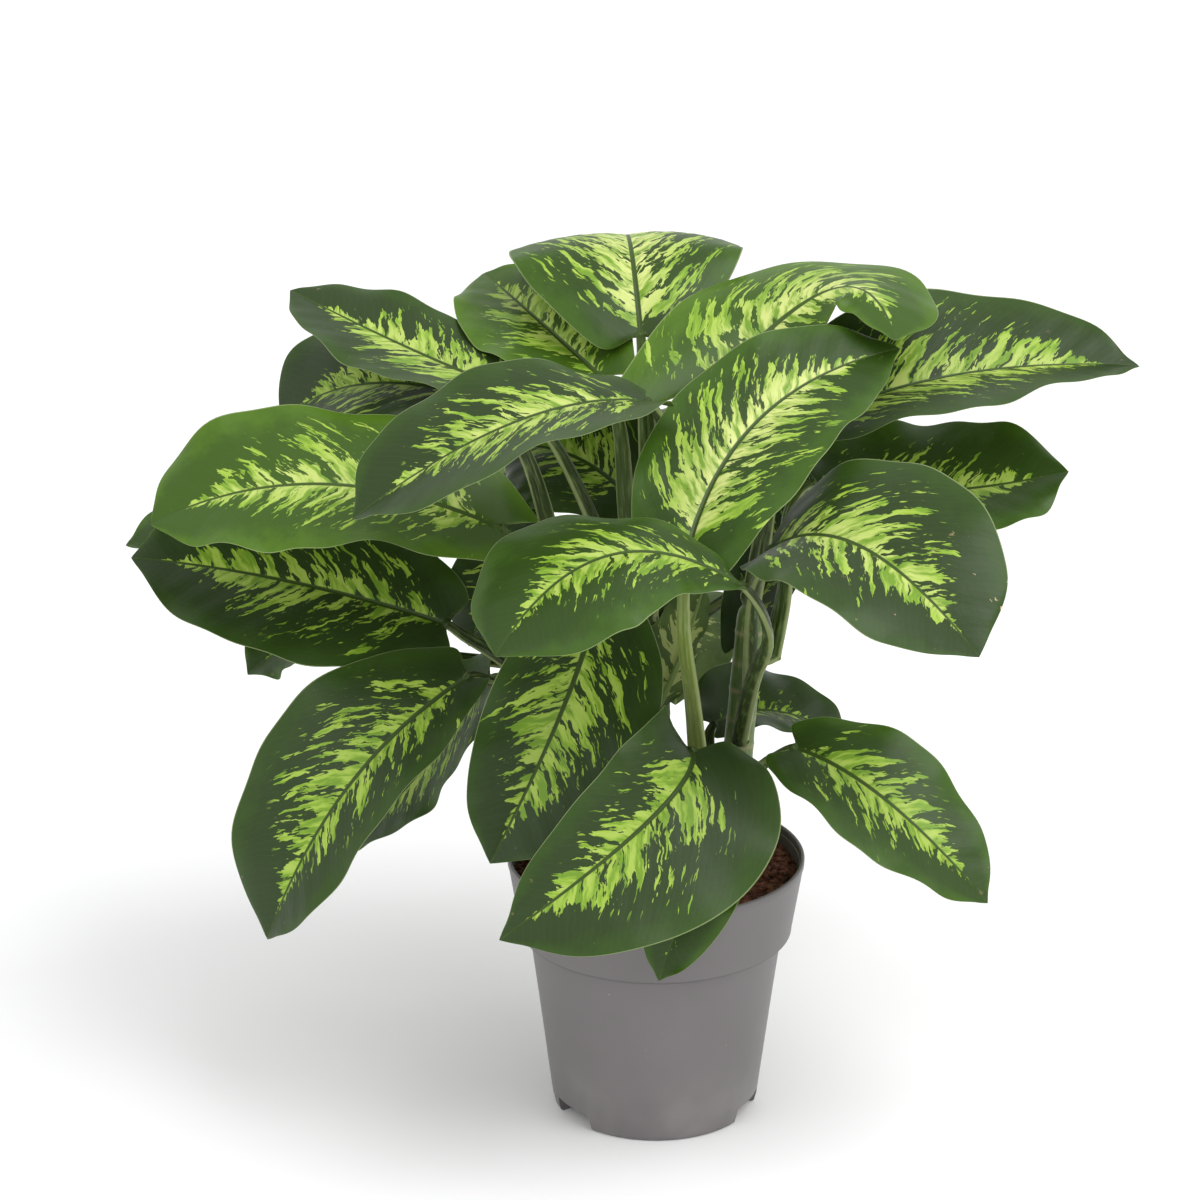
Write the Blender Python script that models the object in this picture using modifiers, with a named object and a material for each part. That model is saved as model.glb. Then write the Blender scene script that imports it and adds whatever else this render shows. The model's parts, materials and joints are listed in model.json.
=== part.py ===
"""Potted dieffenbachia: five canes with broad blotched leaves in a plastic nursery pot.

Metres, +Z up. The origin is the middle of the pot's underside, on the surface
it stands on. The fuller, lower side of the plant faces -Y.
"""
import math

import bmesh
import bpy
from mathutils import Vector

OBJECT_NAME = "potted_dieffenbachia"
UPWARD = Vector((0.0, 0.0, 1.0))
GAP = 0.0005

# Pot
RIM_RADIUS = 0.0850
POT_HEIGHT = 0.1540
BAND_HEIGHT = 0.0460
BAND_FOOT_RADIUS = 0.0780
NECK_RADIUS = 0.0725
BASE_RADIUS = 0.0590
WALL = 0.0018
FOOT_LIFT = 0.0065
FLOOR_TOP = 0.0090
FOOT_WIDTH = 0.0055
PAD_RADIUS = 0.0200
TURN_STEPS = 48
NOTCH_COUNT = 3
FIRST_NOTCH_ANGLE = -144.0
NOTCH_SIZE = (0.020, 0.030, 0.020)

# Soil
SOIL_TOP = 0.1420
SOIL_CROWN = 0.0030
SOIL_FLAT_SHARE = 0.75
SOIL_EASE = 0.0010
SOIL_FOOT_BEVEL = 0.0040

# Canes: a cane tapers from its foot to a rounded end
CANE_FOOT_GAP = 0.0018
CANE_STOPS = (0.0, 0.5, 0.93, 1.0)
CANE_SWELL = (1.08, 1.0, 0.92, 0.72)
CANE_SLACK = 1.1

# Leaves: a leaf is a tube of 8 sides drawn out along its petiole and midrib
SIDES = 8
PETIOLE_STEPS = (0.02, 0.30, 0.62, 0.86)
BLADE_STEPS = (0.00, 0.035, 0.11, 0.24, 0.39, 0.54, 0.69, 0.83, 0.94)
BLADE_THICKNESS = 0.0013
KEEL_DEPTH = 0.0022
LOBE_END = 0.55
TOP_INNER = 0.55
UNDER_INNER = 0.45
PETIOLE_FOOT_RADIUS = 0.0048
PETIOLE_NECK_RADIUS = 0.0027
PETIOLE_TAPER = 0.7
PETIOLE_RISE = 0.42
PETIOLE_ARCH = 0.30
PETIOLE_SPUR = 0.0030

GREEN_YOUNG = (0.10, 0.26, 0.03, 1.0)
GREEN_OLD = (0.03, 0.11, 0.03, 1.0)
GREEN_CANE = (0.20, 0.32, 0.07, 1.0)
GREY_PLASTIC = (0.19, 0.175, 0.175, 1.0)
BROWN_PEAT = (0.06, 0.022, 0.014, 1.0)

# Canes: foot on the soil (x, y), top (x, y, z), radius
CANES = {
    "cane_front": ((0.020, -0.022), (0.024, -0.017, 0.205), 0.0090),
    "cane_left": ((-0.030, -0.015), (-0.050, -0.006, 0.285), 0.0085),
    "cane_crown": ((0.000, 0.022), (-0.004, 0.018, 0.350), 0.0095),
    "cane_right": ((0.042, 0.016), (0.054, 0.022, 0.300), 0.0085),
    "cane_back": ((-0.014, 0.048), (-0.022, 0.062, 0.270), 0.0080),
}


def remove_startup_objects():
    for thing in list(bpy.data.objects):
        bpy.data.objects.remove(thing, do_unlink=True)


def new_collection(name):
    collection = bpy.data.collections.new(name)
    bpy.context.scene.collection.children.link(collection)
    return collection


def principled(name, colour, roughness, metallic=0.0):
    material = bpy.data.materials.new(name)
    material.use_nodes = True
    shader = material.node_tree.nodes["Principled BSDF"]
    shader.inputs["Base Color"].default_value = colour
    shader.inputs["Roughness"].default_value = roughness
    shader.inputs["Metallic"].default_value = metallic
    return material


def add_object(collection, name, data, material=None):
    thing = bpy.data.objects.new(name, data)
    collection.objects.link(thing)
    if material is not None:
        data.materials.append(material)
    return thing


def turned(collection, name, profile, material, steps=TURN_STEPS):
    """A solid of revolution: profile runs from the axis, over the top, down the outside."""
    mesh = bpy.data.meshes.new(name)
    points = [(radius, 0.0, height) for radius, height in profile]
    edges = [(i, i + 1) for i in range(len(points) - 1)]
    mesh.from_pydata(points, edges, [])
    body = add_object(collection, name, mesh, material)
    screw = body.modifiers.new("turn", "SCREW")
    screw.axis = "Z"
    screw.steps = steps
    screw.render_steps = steps
    screw.use_merge_vertices = True
    screw.merge_threshold = 0.0001
    return body


def wall_radius(height):
    """Outer radius of the tapered wall between the foot and the band."""
    share = height / (POT_HEIGHT - BAND_HEIGHT)
    return BASE_RADIUS + (NECK_RADIUS - BASE_RADIUS) * share


def pot_profile():
    band_foot = POT_HEIGHT - BAND_HEIGHT
    step = 0.004
    inside = [
        (0.0, FLOOR_TOP),
        (wall_radius(FLOOR_TOP) - WALL - 0.002, FLOOR_TOP),
        (wall_radius(FLOOR_TOP + 0.002) - WALL, FLOOR_TOP + 0.002),
        (NECK_RADIUS - WALL, band_foot),
        (BAND_FOOT_RADIUS - WALL, band_foot + step),
        (RIM_RADIUS - WALL - 0.0008, POT_HEIGHT - 0.001),
        (RIM_RADIUS - WALL, POT_HEIGHT),
    ]
    outside = [
        (RIM_RADIUS - 0.0005, POT_HEIGHT),
        (RIM_RADIUS, POT_HEIGHT - 0.0008),
        (RIM_RADIUS - 0.0004, POT_HEIGHT - 0.0045),
        (BAND_FOOT_RADIUS + 0.0004, band_foot + 0.0030),
        (BAND_FOOT_RADIUS - 0.0012, band_foot + 0.0006),
        (NECK_RADIUS + 0.0010, band_foot - 0.0010),
        (NECK_RADIUS - 0.0005, band_foot - 0.0030),
        (wall_radius(0.012), 0.012),
        (BASE_RADIUS - 0.0004, 0.0030),
        (BASE_RADIUS - 0.0026, 0.0),
        (BASE_RADIUS - FOOT_WIDTH - 0.0012, 0.0),
        (BASE_RADIUS - FOOT_WIDTH - 0.0022, FOOT_LIFT),
        (PAD_RADIUS + 0.004, FOOT_LIFT),
        (PAD_RADIUS, 0.0),
        (0.0, 0.0),
    ]
    return inside + outside


def notch_cutters(collection):
    """Blocks that open the foot and the corner of the floor, for drainage."""
    cutters = []
    for index in range(NOTCH_COUNT):
        angle = math.radians(FIRST_NOTCH_ANGLE + 360.0 / NOTCH_COUNT * index)
        bpy.ops.mesh.primitive_cube_add(size=1.0)
        cutter = bpy.context.active_object
        cutter.name = "notch_cutter_%d" % (index + 1)
        for owner in list(cutter.users_collection):
            owner.objects.unlink(cutter)
        collection.objects.link(cutter)
        cutter.scale = NOTCH_SIZE
        cutter.location = (BASE_RADIUS * math.cos(angle), BASE_RADIUS * math.sin(angle), 0.0)
        cutter.rotation_euler = (0.0, 0.0, angle)
        cutter.hide_render = True
        cutter.display_type = "WIRE"
        cutters.append(cutter)
    return cutters


def make_pot(collection, helpers):
    plastic = principled("grey_plastic", GREY_PLASTIC, 0.45)
    pot = turned(collection, "pot", pot_profile(), plastic)
    for cutter in notch_cutters(helpers):
        cut = pot.modifiers.new(cutter.name, "BOOLEAN")
        cut.operation = "DIFFERENCE"
        cut.object = cutter
    return pot


def make_soil(collection):
    inset = WALL + GAP
    band_foot = POT_HEIGHT - BAND_HEIGHT
    share = (SOIL_TOP - band_foot) / BAND_HEIGHT
    top_radius = BAND_FOOT_RADIUS + (RIM_RADIUS - BAND_FOOT_RADIUS) * share - inset - SOIL_EASE
    profile = [
        (0.0, SOIL_TOP + SOIL_CROWN),
        (top_radius * SOIL_FLAT_SHARE, SOIL_TOP + SOIL_CROWN),
        (top_radius, SOIL_TOP),
        (BAND_FOOT_RADIUS - inset - SOIL_EASE, band_foot + 0.0050),
        (NECK_RADIUS - inset - GAP, band_foot),
        (wall_radius(FLOOR_TOP + SOIL_FOOT_BEVEL) - inset, FLOOR_TOP + SOIL_FOOT_BEVEL),
        (wall_radius(FLOOR_TOP) - inset - SOIL_FOOT_BEVEL, FLOOR_TOP + GAP),
        (0.0, FLOOR_TOP + GAP),
    ]
    return turned(collection, "soil", profile, principled("peat", BROWN_PEAT, 0.95), 40)


def cane_line(cane):
    foot, top, radius = CANES[cane]
    low = Vector((foot[0], foot[1], SOIL_TOP + SOIL_CROWN + CANE_FOOT_GAP))
    return low, Vector(top), radius


def make_canes(collection):
    green = principled("cane_green", GREEN_CANE, 0.5)
    for name in CANES:
        low, high, radius = cane_line(name)
        curve = bpy.data.curves.new(name, "CURVE")
        curve.dimensions = "3D"
        curve.bevel_depth = radius
        curve.bevel_resolution = 2
        curve.use_fill_caps = True
        spline = curve.splines.new("POLY")
        spline.points.add(len(CANE_STOPS) - 1)
        for point, stop, factor in zip(spline.points, CANE_STOPS, CANE_SWELL):
            place = low.lerp(high, stop)
            point.co = (place.x, place.y, place.z, 1.0)
            point.radius = factor
        add_object(collection, name, curve, green)


def half_width(along, rise, taper):
    """Half width of a blade as a share of its widest, from neck (0) to tip (1)."""
    widest = rise / (rise + taper)
    full = widest ** rise * (1.0 - widest) ** taper
    return along ** rise * (1.0 - along) ** taper / full


def bezier(points, t):
    """Quadratic or cubic Bezier point and direction."""
    rows = [Vector(p) for p in points]
    while len(rows) > 2:
        rows = [a.lerp(b, t) for a, b in zip(rows, rows[1:])]
    return rows[0].lerp(rows[1], t), (rows[1] - rows[0]).normalized()


def petiole_root(cane, height, towards, radius):
    """Where a petiole springs from its cane: beside it, or on the end of it."""
    low, high, cane_radius = cane_line(cane)
    share = (height - low.z) / (high.z - low.z)
    axis = low.lerp(high, share)
    away = Vector((towards[0] - axis.x, towards[1] - axis.y, 0.0)).normalized()
    if share > 1.0:
        return axis, away
    reach = cane_radius * CANE_SLACK + radius + GAP
    return axis + away * reach, away


def blade_section(along, form):
    """Eight points (across, up, back) round the blade: left edge, top, right edge, underside."""
    share = half_width(along, form["rise"], form["taper"])
    flat = min(1.0, along / BLADE_STEPS[1])
    sweep = flat * max(0.0, 1.0 - along / LOBE_END) ** 2
    points = []
    for slot, ring in enumerate(petiole_section(PETIOLE_NECK_RADIUS)):
        if slot <= 4:
            across = (-1.0, -TOP_INNER, 0.0, TOP_INNER, 1.0)[slot]
            sink = 0.0
        else:
            across = (UNDER_INNER, 0.0, -UNDER_INNER)[slot - 5]
            keel = (0.0, KEEL_DEPTH, 0.0)[slot - 5]
            sink = (BLADE_THICKNESS + keel) * (1.0 - 0.6 * along)
        side = 0 if across < 0.0 else 1
        half = max(form["halves"][side] * share, PETIOLE_NECK_RADIUS)
        lift = form["fold"][side] * (1.0 - form["open"] * along)
        angle = math.radians(lift - form["curl"] * abs(across) * 0.5)
        sheet = (across * half * math.cos(angle), abs(across) * half * math.sin(angle) - sink)
        points.append((
            ring[0] + (sheet[0] - ring[0]) * flat,
            ring[1] + (sheet[1] - ring[1]) * flat,
            form["lobe"][side] * sweep * abs(across) ** 1.5,
        ))
    return points


def petiole_section(radius):
    turns = [math.pi * (1.0 - slot * 2.0 / SIDES) for slot in range(SIDES)]
    return [(math.cos(turn) * radius, math.sin(turn) * radius, 0.0) for turn in turns]


def leaf_rings(cane, height, neck, crest, tip, facing, form):
    """Foot point, rings of eight points and tip point of one leaf."""
    neck = Vector(neck)
    crest = Vector(crest)
    tip = Vector(tip)
    midrib = (neck, crest * 2.0 - (neck + tip) * 0.5, tip)
    start = bezier(midrib, 0.0)[1]
    root, away = petiole_root(cane, height, neck, PETIOLE_FOOT_RADIUS)
    reach = (neck - root).length
    stalk = (
        root,
        root + (UPWARD + away * form["spread"]).normalized() * reach * PETIOLE_RISE,
        neck - (start + UPWARD * 0.5).normalized() * reach * PETIOLE_ARCH,
        neck,
    )
    facing = Vector(facing).normalized()
    stations = [(bezier(stalk, step), step, False) for step in PETIOLE_STEPS]
    stations += [(bezier(midrib, step), step, True) for step in BLADE_STEPS]
    rings = []
    for (place, forward), step, on_blade in stations:
        if on_blade:
            section = blade_section(step, form)
            roll = math.radians(-form["twist"] * (1.0 - step) ** 2)
        else:
            slim = (PETIOLE_NECK_RADIUS - PETIOLE_FOOT_RADIUS) * step ** PETIOLE_TAPER
            section = petiole_section(PETIOLE_FOOT_RADIUS + slim)
            roll = math.radians(-form["twist"])
        if on_blade and step == 0.0:
            forward = (forward + bezier(stalk, 1.0)[1]).normalized()
        up = (facing - forward * facing.dot(forward)).normalized()
        right = forward.cross(up)
        right, up = (
            right * math.cos(roll) - up * math.sin(roll),
            up * math.cos(roll) + right * math.sin(roll),
        )
        rings.append([place + right * x + up * y - forward * z for x, y, z in section])
    foot = root - bezier(stalk, 0.0)[1] * PETIOLE_SPUR
    return foot, rings, tip


def leaf(collection, name, cane, height, neck, crest, tip, halves, facing, fold=(16, 16),
         curl=10, twist=0, rise=0.56, taper=0.62, lobe=(0.014, 0.014), spread=0.25, opening=0.0,
         age=0.5):
    """One leaf, petiole and blade in one piece, drawn out from a sphere's rings.

    cane and height say where the petiole springs; neck, crest and tip are the midrib's
    start, middle and end; halves are the widths left and right of the midrib; facing is
    where the top looks at the crest. Fold lifts each half, curl turns its edge down and
    twist rolls the blade over at its neck, in degrees; opening flattens the fold towards
    the tip. rise and taper round the outline at the neck and the tip, lobe sweeps the base
    back, spread leans the petiole out, and age runs from pale to dark.
    """
    form = {"halves": halves, "fold": fold, "curl": curl, "twist": twist,
            "rise": rise, "taper": taper, "lobe": lobe, "spread": spread, "open": opening}
    foot, rings, point = leaf_rings(cane, height, neck, crest, tip, facing, form)
    bands = len(rings) + 1
    shape = bmesh.new()
    bmesh.ops.create_uvsphere(shape, u_segments=SIDES, v_segments=bands, radius=1.0)
    for vert in shape.verts:
        level = round(math.acos(max(-1.0, min(1.0, -vert.co.z))) / math.pi * bands)
        slot = round((math.pi - math.atan2(vert.co.y, -vert.co.x)) / math.tau * SIDES) % SIDES
        if level == 0:
            vert.co = foot
        elif level == bands:
            vert.co = point
        else:
            vert.co = rings[level - 1][slot]
    bmesh.ops.triangulate(shape, faces=shape.faces[:])
    mesh = bpy.data.meshes.new(name)
    shape.to_mesh(mesh)
    shape.free()
    shade = tuple(a + (b - a) * age for a, b in zip(GREEN_YOUNG, GREEN_OLD))
    return add_object(collection, name, mesh, principled(name + "_green", shade, 0.4))


def front_leaves(plant):
    leaf(plant, "leaf_front_low", "cane_front", 0.170, (0.018, -0.071, 0.246),
         (-0.004, -0.107, 0.222), (-0.086, -0.145, 0.167), (0.065, 0.041), (0.20, -0.80, 0.50),
         fold=(16, 26), curl=12, taper=0.65, lobe=(0.010, 0.034), spread=0.9)
    leaf(plant, "leaf_front_small", "cane_front", 0.158, (0.036, -0.060, 0.195),
         (0.020, -0.096, 0.178), (0.000, -0.112, 0.127), (0.026, 0.026), (0.10, -0.85, 0.50))
    leaf(plant, "leaf_front_centre", "cane_right", 0.225, (0.046, -0.099, 0.350),
         (-0.027, -0.122, 0.377), (-0.086, -0.165, 0.337), (0.055, 0.050), (-0.15, -0.35, 0.92),
         fold=(12, 12), curl=30, rise=1.0, taper=0.52, lobe=(0.0, 0.0), spread=0.4)
    leaf(plant, "leaf_centre_long", "cane_front", 0.2095, (0.015, -0.072, 0.361),
         (0.056, -0.013, 0.4185), (0.134, 0.029, 0.4455), (0.046, 0.050), (-0.20, -0.60, 0.77),
         fold=(14, 14), rise=0.45, lobe=(0.024, 0.024), age=0.2)
    leaf(plant, "leaf_right_low_front", "cane_front", 0.180, (0.076, -0.030, 0.231),
         (0.125, -0.058, 0.212), (0.182, -0.080, 0.159), (0.040, 0.045), (0.30, -0.55, 0.78))
    leaf(plant, "leaf_right_low_back", "cane_right", 0.162, (0.034, 0.050, 0.213),
         (0.071, 0.078, 0.210), (0.118, 0.098, 0.182), (0.040, 0.030), (0.10, -0.25, 0.95))
    leaf(plant, "leaf_inner_upright", "cane_front", 0.172, (0.000, -0.002, 0.245),
         (0.013, 0.004, 0.274), (0.027, 0.018, 0.312), (0.014, 0.024), (-0.30, 0.90, 0.30),
         age=0.3)
    leaf(plant, "leaf_lower_middle", "cane_left", 0.190, (-0.035, -0.010, 0.3065),
         (-0.053, -0.0515, 0.2615), (-0.092, -0.096, 0.190), (0.054, 0.041), (0.05, -0.75, 0.62),
         taper=0.5)


def left_leaves(plant):
    leaf(plant, "leaf_left_big", "cane_left", 0.262, (-0.087, 0.000, 0.350),
         (-0.187, 0.000, 0.376), (-0.280, -0.010, 0.356), (0.052, 0.057), (0.0, -0.42, 0.90),
         fold=(8, 14), taper=0.48, lobe=(0.03, 0.03), age=0.3)
    leaf(plant, "leaf_left_low", "cane_left", 0.232, (-0.118, 0.030, 0.282),
         (-0.208, 0.041, 0.304), (-0.298, 0.040, 0.319), (0.055, 0.055), (0.0, -0.65, 0.75),
         taper=0.62)
    leaf(plant, "leaf_lower_left", "cane_left", 0.215, (-0.105, -0.012, 0.267),
         (-0.171, -0.050, 0.2165), (-0.219, -0.050, 0.123), (0.038, 0.060), (-0.40, -0.65, 0.65),
         taper=0.55)
    leaf(plant, "leaf_lower_left_back", "cane_left", 0.200, (-0.095, 0.040, 0.245),
         (-0.131, 0.050, 0.190), (-0.180, 0.030, 0.140), (0.036, 0.040), (-0.50, -0.40, 0.70))
    leaf(plant, "leaf_left_behind", "cane_left", 0.2895, (-0.098, 0.063, 0.406),
         (-0.168, 0.099, 0.4035), (-0.218, 0.120, 0.374), (0.050, 0.060), (0.0, -0.45, 0.89),
         taper=0.5)
    leaf(plant, "leaf_left_far", "cane_back", 0.235, (-0.137, 0.090, 0.294),
         (-0.226, 0.120, 0.299), (-0.310, 0.110, 0.302), (0.045, 0.045), (0.0, -0.30, 0.95))
    leaf(plant, "leaf_left_inner", "cane_back", 0.250, (-0.062, 0.056, 0.330),
         (-0.088, 0.056, 0.295), (-0.108, 0.060, 0.258), (0.032, 0.033), (-0.20, -0.85, 0.50),
         fold=(4, 4), taper=0.5)
    leaf(plant, "leaf_left_hidden", "cane_back", 0.215, (-0.137, 0.085, 0.250),
         (-0.198, 0.120, 0.240), (-0.242, 0.120, 0.217), (0.034, 0.034), (0.0, -0.30, 0.95))


def crown_leaves(plant):
    leaf(plant, "leaf_top_centre", "cane_crown", 0.3545, (-0.009, 0.064, 0.442),
         (-0.015, 0.121, 0.482), (-0.018, 0.200, 0.4535), (0.069, 0.065), (0.0, -0.10, 1.0),
         fold=(14, 19), curl=30, taper=0.5, opening=0.8)
    leaf(plant, "leaf_top_left", "cane_crown", 0.318, (-0.030, 0.051, 0.421),
         (-0.068, 0.107, 0.440), (-0.100, 0.168, 0.451), (0.043, 0.044), (-0.20, -0.30, 0.93),
         age=0.1)
    leaf(plant, "leaf_crown_curl", "cane_crown", 0.328, (0.031, 0.024, 0.424),
         (0.0985, 0.059, 0.4715), (0.130, 0.014, 0.454), (0.051, 0.025), (0.0, 0.26, 0.96),
         fold=(2, -18), curl=4, twist=-80, opening=0.6, rise=0.26, taper=0.40,
         lobe=(0.074, 0.054), age=0.0)
    leaf(plant, "leaf_centre_left", "cane_crown", 0.300, (-0.006, -0.012, 0.427),
         (-0.078, -0.060, 0.430), (-0.163, -0.090, 0.386), (0.054, 0.047), (-0.10, -0.30, 0.95),
         fold=(22, 16), rise=0.62, taper=0.5)
    leaf(plant, "leaf_left_upper", "cane_crown", 0.285, (-0.079, 0.040, 0.416),
         (-0.143, 0.092, 0.428), (-0.211, 0.130, 0.451), (0.045, 0.036), (0.10, -0.30, 0.93),
         taper=0.55)
    leaf(plant, "leaf_inner", "cane_crown", 0.255, (-0.015, 0.066, 0.346),
         (-0.050, 0.091, 0.364), (-0.088, 0.110, 0.362), (0.050, 0.050), (0.0, -0.60, 0.80))


def right_leaves(plant):
    leaf(plant, "leaf_right_upper", "cane_right", 0.3045, (0.080, 0.035, 0.398),
         (0.168, 0.062, 0.420), (0.273, 0.070, 0.423), (0.061, 0.061), (0.0, -0.31, 0.95),
         fold=(25, 24), taper=0.75)
    leaf(plant, "leaf_right_mid", "cane_right", 0.268, (0.087, 0.032, 0.366),
         (0.155, 0.050, 0.355), (0.233, 0.050, 0.367), (0.049, 0.049), (0.0, -0.45, 0.89),
         taper=0.5, spread=0.5)
    leaf(plant, "leaf_right_front", "cane_right", 0.250, (0.060, -0.048, 0.354),
         (0.106, -0.100, 0.374), (0.165, -0.150, 0.331), (0.062, 0.056), (0.15, -0.52, 0.84),
         fold=(22, 12), taper=0.5, lobe=(0.01, 0.01))
    leaf(plant, "leaf_right_behind", "cane_right", 0.218, (0.050, 0.060, 0.258),
         (0.075, 0.072, 0.314), (0.119, 0.092, 0.376), (0.030, 0.030), (-0.60, -0.50, 0.60))


def back_leaves(plant):
    leaf(plant, "leaf_back_centre", "cane_back", 0.255, (-0.020, 0.130, 0.360),
         (-0.010, 0.200, 0.350), (0.000, 0.255, 0.290), (0.055, 0.055), (0.0, 0.40, 0.91))
    leaf(plant, "leaf_back_left", "cane_back", 0.245, (-0.080, 0.130, 0.330),
         (-0.130, 0.180, 0.320), (-0.180, 0.215, 0.260), (0.054, 0.054), (-0.25, 0.35, 0.90))
    leaf(plant, "leaf_back_right", "cane_back", 0.222, (0.095, 0.120, 0.310),
         (0.145, 0.175, 0.305), (0.190, 0.215, 0.250), (0.053, 0.053), (0.25, 0.35, 0.90),
         spread=0.25)
    leaf(plant, "leaf_back_low", "cane_back", 0.195, (-0.010, 0.130, 0.250),
         (0.010, 0.180, 0.225), (0.015, 0.215, 0.160), (0.048, 0.048), (0.0, 0.60, 0.80))


def make_plant():
    remove_startup_objects()
    plant = new_collection(OBJECT_NAME)
    helpers = new_collection("cutters")
    make_pot(plant, helpers)
    make_soil(plant)
    make_canes(plant)
    front_leaves(plant)
    left_leaves(plant)
    crown_leaves(plant)
    right_leaves(plant)
    back_leaves(plant)


make_plant()
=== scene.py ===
import json
import math
import random

import bmesh
import bpy
from mathutils import Matrix, Vector, noise

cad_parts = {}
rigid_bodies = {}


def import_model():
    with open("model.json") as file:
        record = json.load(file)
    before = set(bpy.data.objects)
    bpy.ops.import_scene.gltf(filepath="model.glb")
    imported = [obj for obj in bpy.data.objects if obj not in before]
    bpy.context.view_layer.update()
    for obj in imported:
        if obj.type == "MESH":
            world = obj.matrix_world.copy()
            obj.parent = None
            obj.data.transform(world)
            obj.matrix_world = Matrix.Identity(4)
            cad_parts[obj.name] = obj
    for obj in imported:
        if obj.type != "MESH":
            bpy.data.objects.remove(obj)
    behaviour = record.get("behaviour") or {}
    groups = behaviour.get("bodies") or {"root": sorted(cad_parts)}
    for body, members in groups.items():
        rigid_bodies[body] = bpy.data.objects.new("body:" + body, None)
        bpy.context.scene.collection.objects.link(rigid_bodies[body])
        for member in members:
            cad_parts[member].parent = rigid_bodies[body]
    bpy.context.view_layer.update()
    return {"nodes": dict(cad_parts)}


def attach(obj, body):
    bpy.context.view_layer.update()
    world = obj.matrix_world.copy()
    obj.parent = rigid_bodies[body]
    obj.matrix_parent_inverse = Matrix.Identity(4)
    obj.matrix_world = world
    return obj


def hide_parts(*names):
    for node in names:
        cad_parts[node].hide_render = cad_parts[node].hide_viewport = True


for leftover in list(bpy.data.objects):
    bpy.data.objects.remove(leftover, do_unlink=True)

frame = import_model()


# ---------------------------------------------------------------------------
# Pot: a round nursery pot injection moulded in warm grey polypropylene, with a
# deep band that flares at the rim. It is turned from one profile, then three
# drainage notches are cut through the foot.
# ---------------------------------------------------------------------------
POT_HEIGHT = 0.1540
RIM_RADIUS = 0.0850
BAND_FOOT = 0.1080
BAND_FOOT_RADIUS = 0.0780
NECK_RADIUS = 0.0725
BASE_RADIUS = 0.0590
POT_WALL = 0.0018
NOTCH_ANGLES = (-144.0, -24.0, 96.0)
NOTCH_SIZE = (0.020, 0.030, 0.020, 1)
SHARP_ANGLE = 38


def add_node(tree, kind, values=None, **settings):
    """A shader node with its settings, and its inputs given as values or links."""
    node = tree.nodes.new(kind)
    for name, value in settings.items():
        setattr(node, name, value)
    for name, value in (values or {}).items():
        if isinstance(value, bpy.types.NodeSocket):
            tree.links.new(value, node.inputs[name])
        else:
            node.inputs[name].default_value = value
    return node


def reckon(tree, operation, *terms, clamp=False):
    """The result of one Math node."""
    node = add_node(tree, "ShaderNodeMath", dict(enumerate(terms)),
                    operation=operation, use_clamp=clamp)
    return node.outputs[0]


def ease(tree, value, start, end):
    """0 below start, 1 above end, smooth between."""
    node = add_node(tree, "ShaderNodeMapRange",
                    {"Value": value, "From Min": start, "From Max": end},
                    interpolation_type="SMOOTHSTEP")
    return node.outputs["Result"]


def blend_colours(tree, share, first, second):
    node = add_node(tree, "ShaderNodeMix", {"Factor": share}, data_type="RGBA")
    for socket, colour in ((node.inputs[6], first), (node.inputs[7], second)):
        if isinstance(colour, bpy.types.NodeSocket):
            tree.links.new(colour, socket)
        else:
            socket.default_value = colour
    return node.outputs[2]


def speckle(tree, place, size, detail=3.0, roughness=0.55):
    """Cloudy noise whose patches are about size across, in metres."""
    node = add_node(tree, "ShaderNodeTexNoise",
                    {"Vector": place, "Scale": 1.0 / size, "Detail": detail,
                     "Roughness": roughness})
    return node.outputs["Fac"]


def new_group(name, inputs, outputs):
    """An empty node group with named sockets, and its two end nodes."""
    group = bpy.data.node_groups.new(name, "ShaderNodeTree")
    for label, kind, value in inputs:
        socket = group.interface.new_socket(label, in_out="INPUT", socket_type=kind)
        socket.default_value = value
    for label, kind in outputs:
        group.interface.new_socket(label, in_out="OUTPUT", socket_type=kind)
    return group, group.nodes.new("NodeGroupInput"), group.nodes.new("NodeGroupOutput")


def new_finish(name, **constants):
    """A Principled material; constants are the inputs that don't change over it."""
    finish = bpy.data.materials.new(name)
    finish.use_nodes = True
    shader = finish.node_tree.nodes["Principled BSDF"]
    for label, value in constants.items():
        shader.inputs[label.replace("_", " ")].default_value = value
    return finish, finish.node_tree, shader


def add_bump(tree, shader, height, distance, strength=1.0):
    bump = add_node(tree, "ShaderNodeBump",
                    {"Height": height, "Distance": distance, "Strength": strength})
    tree.links.new(bump.outputs["Normal"], shader.inputs["Normal"])


def put_in_scene(name, shape, finishes, replaces):
    """Closes a bmesh into a piece of the plant that rides on the root body."""
    mesh = bpy.data.meshes.new(name)
    shape.to_mesh(mesh)
    shape.free()
    for finish in finishes:
        mesh.materials.append(finish)
    mesh.shade_smooth()
    piece = bpy.data.objects.new(name, mesh)
    bpy.context.scene.collection.objects.link(piece)
    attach(piece, "root")
    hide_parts(*replaces)
    return piece


def wall_radius(height):
    return BASE_RADIUS + (NECK_RADIUS - BASE_RADIUS) * height / BAND_FOOT


def turn(profile, steps):
    """Spins a line of (radius, height) points, axis to axis, into a closed solid."""
    shape = bmesh.new()
    line = [shape.verts.new((radius, 0.0, height)) for radius, height in profile]
    edges = [shape.edges.new(pair) for pair in zip(line, line[1:])]
    bmesh.ops.spin(shape, geom=line + edges, cent=(0, 0, 0), axis=(0, 0, 1),
                   angle=math.tau, steps=steps, use_merge=True)
    bmesh.ops.remove_doubles(shape, verts=shape.verts, dist=1e-6)
    bmesh.ops.recalc_face_normals(shape, faces=shape.faces)
    return shape


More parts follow.
